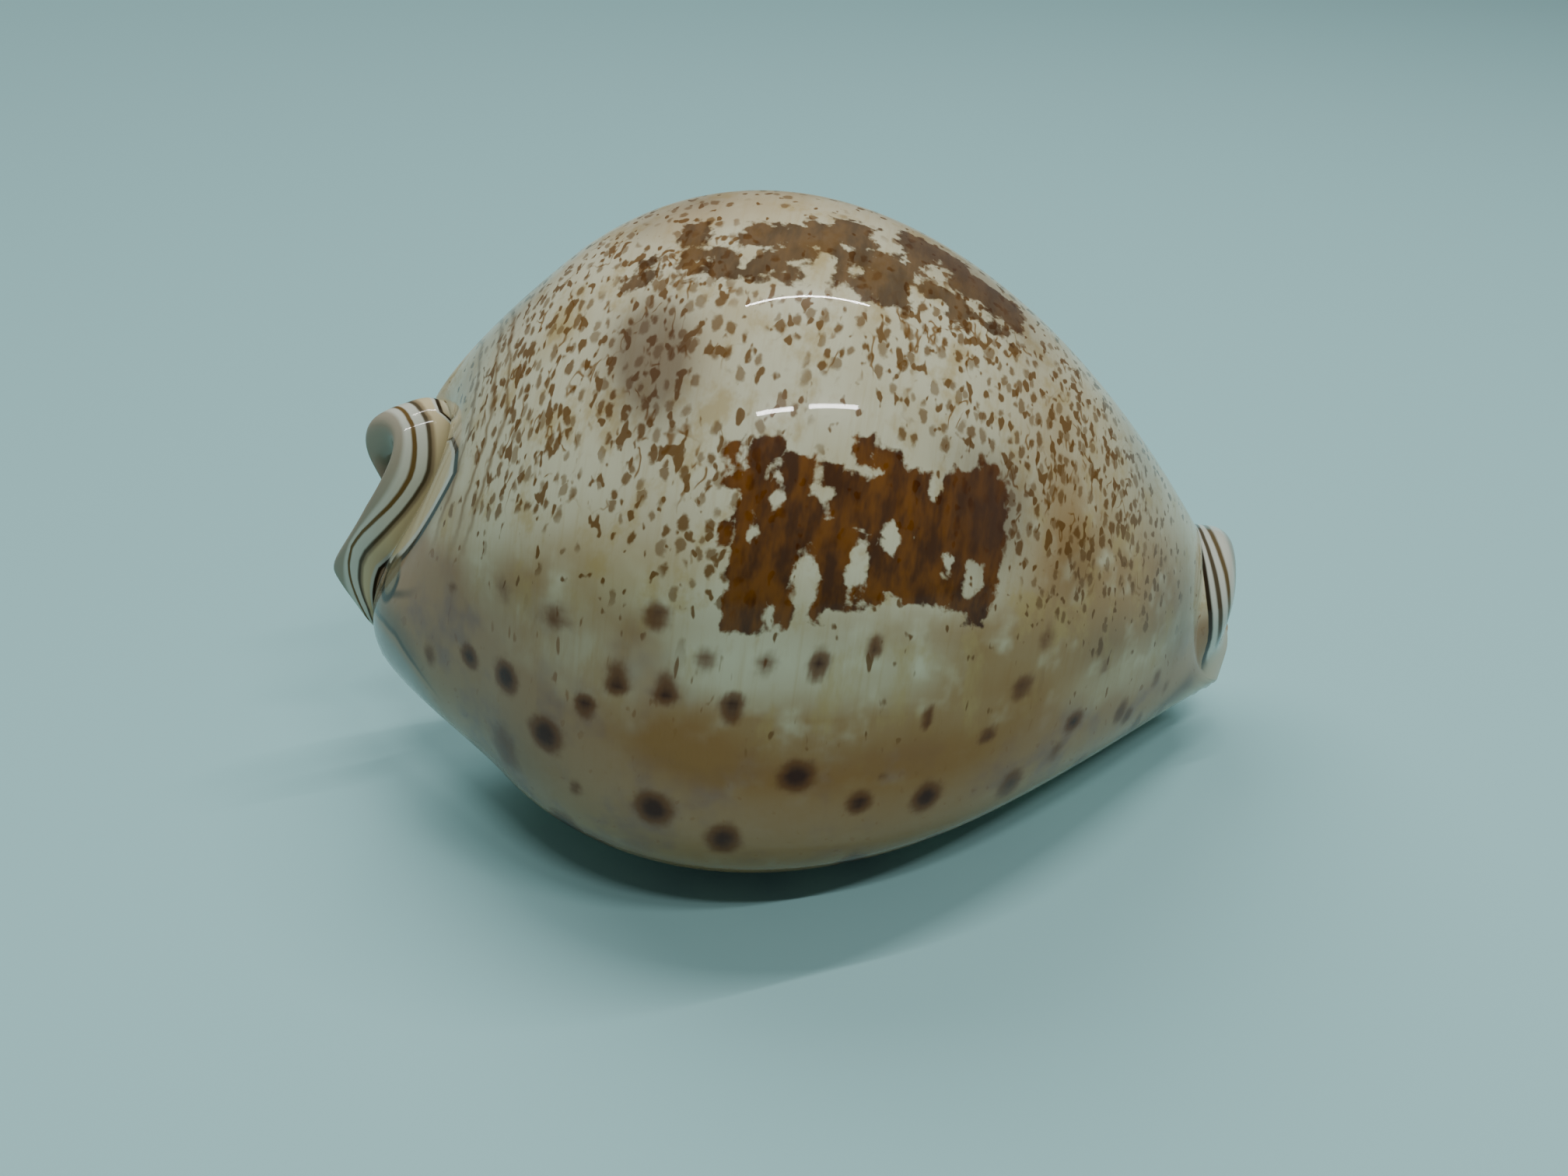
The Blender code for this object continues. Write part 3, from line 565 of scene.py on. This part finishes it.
save_field("freckled", clouds((
    (0.300, 0.400, 9, 9, 0.9), (0.330, 0.340, 9, 5, 0.8), (0.410, 0.350, 7, 7, 0.9),
    (0.380, 0.430, 6, 5, 0.8), (0.480, 0.400, 10, 4, 0.75), (0.560, 0.400, 8, 7, 0.9),
    (0.620, 0.400, 8, 10, 0.9), (0.680, 0.380, 8, 10, 0.8), (0.740, 0.370, 6, 9, 0.55),
    (0.630, 0.330, 6, 4, 0.6), (0.440, 0.290, 4, 4, 0.6), (0.240, 0.400, 4, 7, 0.6),
    (0.350, 0.560, 12, 9, 0.8), (0.560, 0.580, 14, 10, 0.9), (0.450, 0.660, 14, 9, 0.8),
    (0.650, 0.660, 10, 9, 0.7), (0.290, 0.660, 7, 8, 0.6))))

# The margin and the base, which wear a later coat of grey-beige over the cream: how far
# in mm each point is inside the coat's edge on either side, and how far from the slot.
near_edge = np.interp(along, [0.1, 0.2, 0.35, 0.55, 0.70, 0.82, 0.91],
                      [0.36, 0.30, 0.262, 0.238, 0.235, 0.25, 0.28])
far_edge = np.interp(along, [0.1, 0.3, 0.6, 0.91], [0.68, 0.745, 0.76, 0.70])
save_field("margin", np.where(outside_girth < 0.5, near_edge - outside_girth,
                              outside_girth - far_edge) * mm_round)
to_slot = np.minimum(outside_girth, 1 - outside_girth) * mm_round
save_field("to_slot", to_slot)

# The gaps between the teeth, on a band beside the slot that is this many mm wide.
TEETH_SHADE_BAND = 2.6
near_lip = np.exp(-(to_slot / TEETH_SHADE_BAND) ** 2)
tooth_crest = near_lip * np.where(outside_girth < 0.5, tooth_wave(along, OUTER_LIP_TEETH),
                                  tooth_wave(along, INNER_LIP_TEETH))
save_field("tooth_gaps", np.where((outside_along > TEETH_FROM) & (outside_along < TEETH_TO),
                                  near_lip - tooth_crest, 0))

# A fold runs from the groove's lower end round a dimple, and the shaded stripe goes on
# below it along the margin, with a bluish see-through band between it and the edge.
fold = np.interp(along, [0.100, 0.115, 0.150, 0.175, 0.200, 0.230],
                 [0.145, 0.165, 0.205, 0.226, 0.245, 0.262])
stripe_on = np.interp(along, [0.10, 0.12, 0.14, 0.16, 0.18, 0.205, 0.23, 0.26],
                      [0.095, 0.125, 0.160, 0.178, 0.186, 0.175, 0.158, 0.140])
on_body = outside_along > REAR_COLLAR_SPAN
save_field("fold_line", np.where(on_body, (outside_girth - fold) * mm_round, FAR_AWAY))
save_field("stripe_line",
           np.where(on_body, (outside_girth - stripe_on) * mm_round, FAR_AWAY))
DIMPLE = (0.152, 0.224, 1.5, 2.4)
save_field("dimple", ovals([DIMPLE]))
save_field("place_along", outside_along)
save_field("girth", outside_girth)

# The rims meet in single points, and so do the ends of the lips. They are merged.
joined = bmesh.new()
joined.from_mesh(mesh)
bmesh.ops.remove_doubles(joined, verts=joined.verts, dist=SAME_POINT)
bmesh.ops.recalc_face_normals(joined, faces=joined.faces)
joined.to_mesh(mesh)
joined.free()
mesh.shade_smooth()
shell = bpy.data.objects.new("cowrie_shell", mesh)
bpy.context.scene.collection.objects.link(shell)


# The porcelain: a clear glossy skin over layers of colour, laid on from the cream up. Each
# layer covers those before it as thickly as a field or a noise says.

porcelain = bpy.data.materials.new("cowrie_porcelain")
porcelain.use_nodes = True
nodes, links = porcelain.node_tree.nodes, porcelain.node_tree.links


def put(socket, value):
    """Give an input another node's output, a colour, or any other plain value."""
    if isinstance(value, bpy.types.NodeSocket):
        links.new(value, socket)
    elif socket.type == "RGBA":
        socket.default_value = (*value, 1)
    else:
        socket.default_value = value


def field(name):
    """A number that was saved for every point of the mesh."""
    node = nodes.new("ShaderNodeAttribute")
    node.attribute_name = name
    return node.outputs["Fac"]


def sum_up(operation, first, second=0.0, third=0.0):
    """One step of arithmetic on numbers that change over the surface."""
    node = nodes.new("ShaderNodeMath")
    node.operation = operation
    for socket, value in zip(node.inputs, (first, second, third)):
        put(socket, value)
    return node.outputs[0]


def times(first, *others):
    """The product of such numbers, taken in turn."""
    for other in others:
        first = sum_up("MULTIPLY", first, other)
    return first


def wavered(value, noise, reach):
    """The value plus a noise that is centred on 0 and spans this reach."""
    return sum_up("MULTIPLY_ADD", sum_up("SUBTRACT", noise, 0.5), reach, value)


def fade(value, start, end, low=0.0, high=1.0):
    """A smooth rise from low to high as the value goes from start to end."""
    node = nodes.new("ShaderNodeMapRange")
    node.interpolation_type = "SMOOTHSTEP"
    for name, number in (("Value", value), ("From Min", start), ("From Max", end),
                         ("To Min", low), ("To Max", high)):
        put(node.inputs[name], number)
    return node.outputs[0]


def paint(under, over, amount):
    """Lay one colour over another, as thickly as the amount says. The numbers are those
    of the colour sockets of a Mix node."""
    node = nodes.new("ShaderNodeMix")
    node.data_type = "RGBA"
    put(node.inputs["Factor"], amount)
    put(node.inputs[6], under)
    put(node.inputs[7], over)
    return node.outputs[2]


def grain(where, scale, detail=2.0, roughness=0.5, distortion=0.0):
    """Cloudy noise of a given fineness, in repeats to the mm."""
    node = nodes.new("ShaderNodeTexNoise")
    for name, value in (("Vector", where), ("Scale", scale), ("Detail", detail),
                        ("Roughness", roughness), ("Distortion", distortion)):
        put(node.inputs[name], value)
    return node.outputs["Fac"]


def stretched(where, scale, move=(0, 0, 0)):
    """The same coordinates, stretched and moved."""
    node = nodes.new("ShaderNodeMapping")
    for name, value in (("Vector", where), ("Scale", scale), ("Location", move)):
        put(node.inputs[name], value)
    return node.outputs[0]


def line(value, middle, half_width, edge):
    """1 on a line where the value is near the middle, 0 beyond its half width."""
    away = sum_up("ABSOLUTE", sum_up("SUBTRACT", value, middle))
    return fade(away, half_width + edge, max(half_width - edge, 0.0))


# Two sets of coordinates in mm: the flow over the back, and straight through the shell.
flow_node = nodes.new("ShaderNodeAttribute")
flow_node.attribute_name = "flow"
on_shell = flow_node.outputs["Vector"]
object_place = stretched(nodes.new("ShaderNodeTexCoord").outputs["Object"],
                         (1 / MM, 1 / MM, 1 / MM))

# Cream ground with broad warm clouds, fine growth streaks round the whorl, ochre (partly painted
# shade) and haze.
CREAM, WARM_CREAM, OCHRE = (0.62, 0.60, 0.42), (0.42, 0.31, 0.12), (0.27, 0.125, 0.018)
broad = grain(object_place, 0.10, 3.0)
fine = grain(stretched(on_shell, (1.6, 0.18, 1)), 1.0, 4.0, 0.6)
colour = paint(CREAM, WARM_CREAM, times(fade(broad, 0.48, 0.75), 0.45))
colour = paint(colour, WARM_CREAM, times(fade(fine, 0.45, 0.75), 0.25))
ochre_and_shade = times(field("ochre_and_shade"), fade(grain(object_place, 0.30, 2.5, 0.5), 0.10, 0.50))
# The ochre is the shell's own colour, and towards the front end also painted shade.
colour = paint(colour, OCHRE, times(ochre_and_shade, 0.8))
haze = fade(grain(stretched(on_shell, (1, 0.8, 1), (2, 8, 0)), 0.28, 4.0, 0.62), 0.50, 0.68)
colour = paint(colour, WARM_CREAM, times(haze, 0.60))

# Freckles, where the back has them: small ragged spots laid out in cells, larger drops
# where a noise is high, and scribbles along the winding middle line of another noise.
FRECKLE_BROWN, SCRIBBLE_BROWN = (0.14, 0.060, 0.008), (0.19, 0.088, 0.016)
WANDER_SCALE, WANDER_REACH = 0.9, (0.9, 0.9, 0)


def freckles(scale, stretch, size, share):
    """A mask of spots, at most one to a cell: size is a part of the cell, share is how
    many of the cells have one. A noise added to the coordinates bends the cells."""
    noise = nodes.new("ShaderNodeTexNoise")
    put(noise.inputs["Vector"], on_shell)
    put(noise.inputs["Scale"], WANDER_SCALE)
    wander = nodes.new("ShaderNodeVectorMath")
    wander.operation = "MULTIPLY_ADD"
    for socket, value in zip(wander.inputs, (noise.outputs["Color"], WANDER_REACH, on_shell)):
        put(socket, value)
    cells = nodes.new("ShaderNodeTexVoronoi")
    cells.voronoi_dimensions = "2D"
    put(cells.inputs["Vector"], stretched(wander.outputs[0], (1, stretch, 1)))
    put(cells.inputs["Scale"], scale)
    put(cells.inputs["Randomness"], 0.85)
    parts = nodes.new("ShaderNodeSeparateColor")
    put(parts.inputs[0], cells.outputs["Color"])
    present = fade(sum_up("SUBTRACT", share, parts.outputs[0]), -0.04, 0.10)
    own_size = sum_up("MULTIPLY_ADD", parts.outputs[1], size * 0.6, size * 0.7)
    ragged = wavered(cells.outputs["Distance"], grain(on_shell, 1.7, 3.0, 0.6), 0.25)
    depth = sum_up("SUBTRACT", own_size, ragged)
    strength = sum_up("MULTIPLY_ADD", parts.outputs[2], 0.35, 0.65)
    return times(present, fade(depth, -0.09, 0.11), strength)


dense = times(field("freckled"), fade(grain(on_shell, 0.22, 2.0), 0.30, 0.62, 0.35, 1.0))
small = freckles(0.85, 0.68, 0.28, times(dense, 1.25))
drops = grain(stretched(on_shell, (1.0, 0.68, 1), (5, 2, 0)), 1.05, 1.5, 0.5, 0.1)
drops = fade(sum_up("MULTIPLY_ADD", dense, 0.12, drops), 0.655, 0.72)
winding = grain(stretched(on_shell, (1.0, 0.7, 1)), 0.45, 2.0, 0.5, 0.4)
broken = fade(grain(stretched(on_shell, (1.0, 0.62, 1), (3, 9, 0)), 0.62, 2.0, 0.5), 0.50, 0.58)
scribble = times(line(winding, 0.5, 0.020, 0.016), broken, fade(dense, 0.30, 0.80))
colour = paint(colour, SCRIBBLE_BROWN, times(scribble, 0.85))
colour = paint(colour, FRECKLE_BROWN, times(sum_up("MAXIMUM", drops, small), 0.9))

# The two blotches: ragged edges, and a depth that wavers from orange to dark chestnut.
CHESTNUT, DARK_CHESTNUT = (0.165, 0.050, 0.0), (0.050, 0.010, 0.0)
TOP_CHESTNUT, TOP_DARK = (0.13, 0.062, 0.018), (0.060, 0.024, 0.006)
edge_noise = times(sum_up("SUBTRACT", grain(on_shell, 0.8, 3.0, 0.55, 0.2), 0.5), 1.7)
blotch = fade(sum_up("ADD", field("blotch"), edge_noise), -0.22, 0.12)
top_blotch = fade(sum_up("MULTIPLY_ADD", edge_noise, 1.9, field("top_blotch")), -0.30, 0.20)
depth = fade(grain(stretched(on_shell, (1.0, 0.4, 1)), 0.55, 3.0, 0.6), 0.35, 0.65)
colour = paint(colour, paint(CHESTNUT, DARK_CHESTNUT, depth), times(blotch, 0.96))
colour = paint(colour, paint(TOP_CHESTNUT, TOP_DARK, depth), times(top_blotch, 0.90))

# The coat of the margin: greyish beige with darker patches, over everything beneath it. It is
# partly the shell's own grey-beige and is kept darker as painted shade of the lower flanks.
# The veil lies over that, and the pale strip beside the slot over both.
MARGIN_GREY_AND_SHADE, MARGIN_PATCH = (0.32, 0.19, 0.095), (0.22, 0.130, 0.100)
VEIL_BROWN, BASE_WHITE = (0.085, 0.045, 0.028), (0.50, 0.43, 0.29)
margin = wavered(field("margin"), broad, 8.0)
patchy = grain(object_place, 0.16, 3.0, 0.6)
coat = paint(MARGIN_GREY_AND_SHADE, MARGIN_PATCH, fade(patchy, 0.46, 0.70))
coat = paint(coat, OCHRE, times(ochre_and_shade, 0.75))
# Painted shade: the margin's coat is darker than the shell's own grey-beige, for the lower
# flanks.
colour = paint(colour, coat, fade(margin, -1.5, 3.5, 0.0, 0.92))
colour = paint(colour, VEIL_BROWN, times(field("veil"), 0.65))
pale_strip = sum_up("MULTIPLY_ADD", patchy, 3.0, field("to_slot"))
colour = paint(colour, BASE_WHITE, fade(pale_strip, 9.0, 3.0))

# Spots of the margin: an orange-brown halo round a core that is nearly black. The gaps
# between the teeth are a little browner than the teeth.
SPOT_HALO, SPOT_DARK, GAP_BROWN = (0.13, 0.038, 0.004), (0.036, 0.004, 0.0), (0.20, 0.10, 0.045)
mottled = wavered(field("spots"), grain(object_place, 0.9, 2.0), 0.25)
colour = paint(colour, SPOT_HALO, fade(mottled, 0.06, 0.45, 0.0, 0.85))
colour = paint(colour, SPOT_DARK, fade(mottled, 0.38, 0.85, 0.0, 0.92))
colour = paint(colour, GAP_BROWN, times(field("tooth_gaps"), 0.45))

# Rear end: thin streaks on the body beside the groove, each with its place along where it
# crosses the middle of the side and how far it bends from there, and painted shade by the
# groove.
STREAK_BROWN, GROOVE_PAINTED_SHADE = (0.17, 0.085, 0.022), (0.20, 0.135, 0.075)
STREAKS = ((0.222, 0.20), (0.251, 0.24), (0.271, 0.30))
STREAK_HALF_WIDTH, SIDE_GIRTH = 0.0022, 0.375
place_here, girth_here = field("place_along"), field("girth")
side_only = fade(girth_here, 0.26, 0.33)
wavering = wavered(place_here, grain(object_place, 0.5, 2.0), 0.012)
from_side = sum_up("ABSOLUTE", sum_up("SUBTRACT", girth_here, SIDE_GIRTH))
for middle, bend in STREAKS:
    bent = sum_up("MULTIPLY_ADD", from_side, bend, wavering)
    streak = line(bent, middle, STREAK_HALF_WIDTH, STREAK_HALF_WIDTH)
    colour = paint(colour, STREAK_BROWN, times(streak, side_only, 0.7))
rear_band = field("rear_stripes")
# Painted shade: the body darkens just past the groove, where the crease between collar and body
# lies.
colour = paint(colour, GROOVE_PAINTED_SHADE, times(fade(rear_band, 3.9, 3.0), 0.55))

# The stripes of a collar. They end a little way onto the body, at this stripe count, and
# fade out between the next two.
STRIPES_TO, STRIPES_GONE, STRIPES_FULL = 3.4, 3.32, 3.12


def striped(under, count, stops, shown=1.0):
    """Paint a collar: colours laid at places on the stripe count, over what is under."""
    ramp = nodes.new("ShaderNodeValToRGB")
    ramp.color_ramp.interpolation = "EASE"
    put(ramp.inputs[0], sum_up("DIVIDE", count, STRIPES_TO))
    tones = ramp.color_ramp.elements
    while len(tones) > 1:
        tones.remove(tones[-1])
    for index, (place, tone) in enumerate(stops):
        stop = tones[0] if index == 0 else tones.new(place / STRIPES_TO)
        stop.position = place / STRIPES_TO
        stop.color = (*tone, 1)
    return paint(under, ramp.outputs[0], times(fade(count, STRIPES_GONE, STRIPES_FULL), shown))


# Rear collar: a grey rim, a thin brown stripe, a broad shaded one, and the dark groove.
LIP_GREY, LIP_WHITE, LIP_CREAM = (0.32, 0.295, 0.22), (0.55, 0.57, 0.48), (0.58, 0.50, 0.30)
THIN_BROWN, SHADE_BROWN = (0.14, 0.085, 0.025), (0.085, 0.065, 0.035)
SHADE_END, BESIDE_GROOVE = (0.28, 0.22, 0.13), (0.24, 0.16, 0.075)
GROOVE_DARK = (0.030, 0.020, 0.009)
colour = striped(colour, rear_band, (
    (0.0, LIP_GREY), (0.40, LIP_GREY), (0.66, LIP_WHITE), (0.82, LIP_WHITE),
    (0.93, THIN_BROWN), (1.07, THIN_BROWN), (1.20, LIP_WHITE), (1.74, LIP_WHITE),
    (1.92, SHADE_BROWN), (2.02, SHADE_BROWN), (2.16, SHADE_END), (2.36, LIP_CREAM),
    (2.70, LIP_CREAM), (2.80, LIP_WHITE), (2.88, LIP_WHITE), (2.96, GROOVE_DARK),
    (3.17, GROOVE_DARK), (3.3, BESIDE_GROOVE)))

# Below it, the bluish band along the edge, the shaded stripe beside it with a dark line,
# and the fold round the dimple.
BLUISH, STRIPE_SHADE = (0.25, 0.28, 0.27), (0.13, 0.115, 0.085)
STRIPE_DARK, FOLD_BROWN = (0.055, 0.048, 0.035), (0.09, 0.055, 0.025)
fold, stripe = field("fold_line"), field("stripe_line")
rear_only, fold_only = fade(place_here, 0.235, 0.19), fade(place_here, 0.205, 0.165)
colour = paint(colour, BLUISH, times(fade(stripe, 0.0, -2.0), rear_only, 0.7))
beside = times(fade(stripe, 3.0, 0.0), fade(stripe, -0.6, 0.0))
colour = paint(colour, STRIPE_SHADE, times(beside, rear_only, 0.75))
colour = paint(colour, STRIPE_DARK, times(line(stripe, 0.0, 0.25, 0.25), rear_only, 0.8))
colour = paint(colour, FOLD_BROWN, times(line(fold, 0.0, 0.28, 0.25), fold_only, 0.85))

# The dimple itself: an olive hollow with a dark line hooked round its lower side.
DIMPLE_OLIVE, DIMPLE_DARK = (0.20, 0.165, 0.085), (0.035, 0.022, 0.008)
dimple = field("dimple")
hook = times(line(dimple, 0.0, 0.3, 0.2), fade(girth_here, 0.245, 0.232))
colour = paint(colour, DIMPLE_OLIVE, fade(dimple, -0.3, 0.3, 0.0, 0.8))
colour = paint(colour, DIMPLE_DARK, hook)

# Front collar: a grey rim, two brown stripes, and the dark line at the body. They fade
# out towards the slot under the outer lip's side.
RIM_GREY, FRONT_BROWN, BESIDE_LINE = (0.30, 0.29, 0.22), (0.12, 0.085, 0.035), (0.30, 0.23, 0.13)
colour = striped(colour, field("front_stripes"), (
    (0.0, LIP_GREY), (0.25, RIM_GREY), (0.5, LIP_WHITE), (0.78, LIP_WHITE),
    (0.93, FRONT_BROWN), (1.08, FRONT_BROWN), (1.32, LIP_WHITE), (1.66, LIP_WHITE),
    (1.86, SHADE_BROWN), (2.10, SHADE_BROWN), (2.32, LIP_WHITE), (2.58, LIP_WHITE),
    (2.82, GROOVE_DARK), (3.12, GROOVE_DARK), (3.3, BESIDE_LINE)),
    fade(girth_here, 0.07, 0.12))
colour = paint(colour, LIP_GREY, field("inside"))

# The glaze is a clear coat over a ground that hardly shines. Fine growth lines roughen it.
shader = nodes["Principled BSDF"]
put(shader.inputs["Base Color"], colour)
put(shader.inputs["Roughness"], fade(grain(object_place, 0.8, 4.0), 0.3, 0.7, 0.16, 0.24))
for name, number in (("IOR", 1.5), ("Specular IOR Level", 0.05), ("Coat Weight", 0.45),
                     ("Coat IOR", 1.45), ("Coat Roughness", 0.02)):
    put(shader.inputs[name], number)
bump = nodes.new("ShaderNodeBump")
for name, value in (("Strength", 0.06), ("Distance", 0.4 * MM), ("Height", fine)):
    put(bump.inputs[name], value)
put(shader.inputs["Normal"], bump.outputs[0])
mesh.materials.append(porcelain)

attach(shell, "root")
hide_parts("shell")


# The floor: a plain pale sheet that the shell lies on. It isn't part of the shell, and
# reaches this many metres each way.

FLOOR_REACH, FLOOR_COLOUR = 3.0, (0.34, 0.60, 0.61, 1)
floor_mesh = bpy.data.meshes.new("floor")
floor_mesh.from_pydata([(FLOOR_REACH * x, FLOOR_REACH * y, 0)
                        for x, y in ((-1, -1), (1, -1), (1, 1), (-1, 1))], [], [(0, 1, 2, 3)])
floor = bpy.data.objects.new("floor", floor_mesh)
bpy.context.scene.collection.objects.link(floor)
floor_paint = bpy.data.materials.new("floor_paint")
floor_paint.use_nodes = True
floor_shader = floor_paint.node_tree.nodes["Principled BSDF"]
floor_shader.inputs["Base Color"].default_value = FLOOR_COLOUR
floor_shader.inputs["Roughness"].default_value = 0.6
floor_shader.inputs["Specular IOR Level"].default_value = 0.2
floor_mesh.materials.append(floor_paint)


# The camera: it looks down on the side of the outer lip, a little from the rear. Its
# turns are in degrees, down from level and towards the shell's front end.

CAMERA_PLACE, LOOK_DOWN, LOOK_FRONT = (-10.8 * MM, -103.78 * MM, 86.59 * MM), 31.78, 4.53
camera_data = bpy.data.cameras.new("camera")
camera_data.sensor_width = 36
camera_data.lens = 30.36
camera_data.clip_start = 10 * MM
camera = bpy.data.objects.new("camera", camera_data)
camera.location = CAMERA_PLACE
camera.rotation_euler = (math.radians(90 - LOOK_DOWN), 0, math.radians(-LOOK_FRONT))
bpy.context.scene.collection.objects.link(camera)
bpy.context.scene.camera = camera


# The light: a pale even sky, three thin strips that show as bright lines in the glaze,
# and a broad soft lamp far overhead that doesn't show in it.

world = bpy.data.worlds.new("pale_sky")
world.use_nodes = True
sky = world.node_tree.nodes["Background"]
sky.inputs["Color"].default_value = (0.80, 0.92, 0.95, 1)
sky.inputs["Strength"].default_value = 0.14
bpy.context.scene.world = world


SHELL_MIDDLE = Vector((0, 0, 30 * MM))


def soft_lamp(name, start, end, width, power):
    """A flat lamp as long as from start to end, in metres, turned to face the shell."""
    start, end = Vector(start), Vector(end)
    data = bpy.data.lights.new(name, "AREA")
    data.shape = "RECTANGLE"
    data.size, data.size_y = (end - start).length, width
    data.energy = power
    lamp = bpy.data.objects.new(name, data)
    middle = (start + end) / 2
    lengthwise = (end - start).normalized()
    outward = (middle - SHELL_MIDDLE).normalized()
    sideways = outward.cross(lengthwise).normalized()
    outward = lengthwise.cross(sideways)
    lamp.matrix_world = Matrix((lengthwise, sideways, outward)).transposed().to_4x4()
    lamp.location = middle
    bpy.context.scene.collection.objects.link(lamp)
    return lamp


soft_lamp("overhead_strip", (-0.046, 0.023, 0.65), (0.318, 0.10, 0.55), 0.006, 1.5)
soft_lamp("front_strip_left", (-0.026, -0.32, 0.563), (0.10, -0.30, 0.55), 0.012, 0.7)
soft_lamp("front_strip_right", (0.15, -0.285, 0.54), (0.305, -0.246, 0.51), 0.012, 0.7)
ceiling = soft_lamp("ceiling", (-1.1, 0.7, 1.2), (0.1, 0.7, 1.2), 0.8, 11)
ceiling.visible_glossy = False
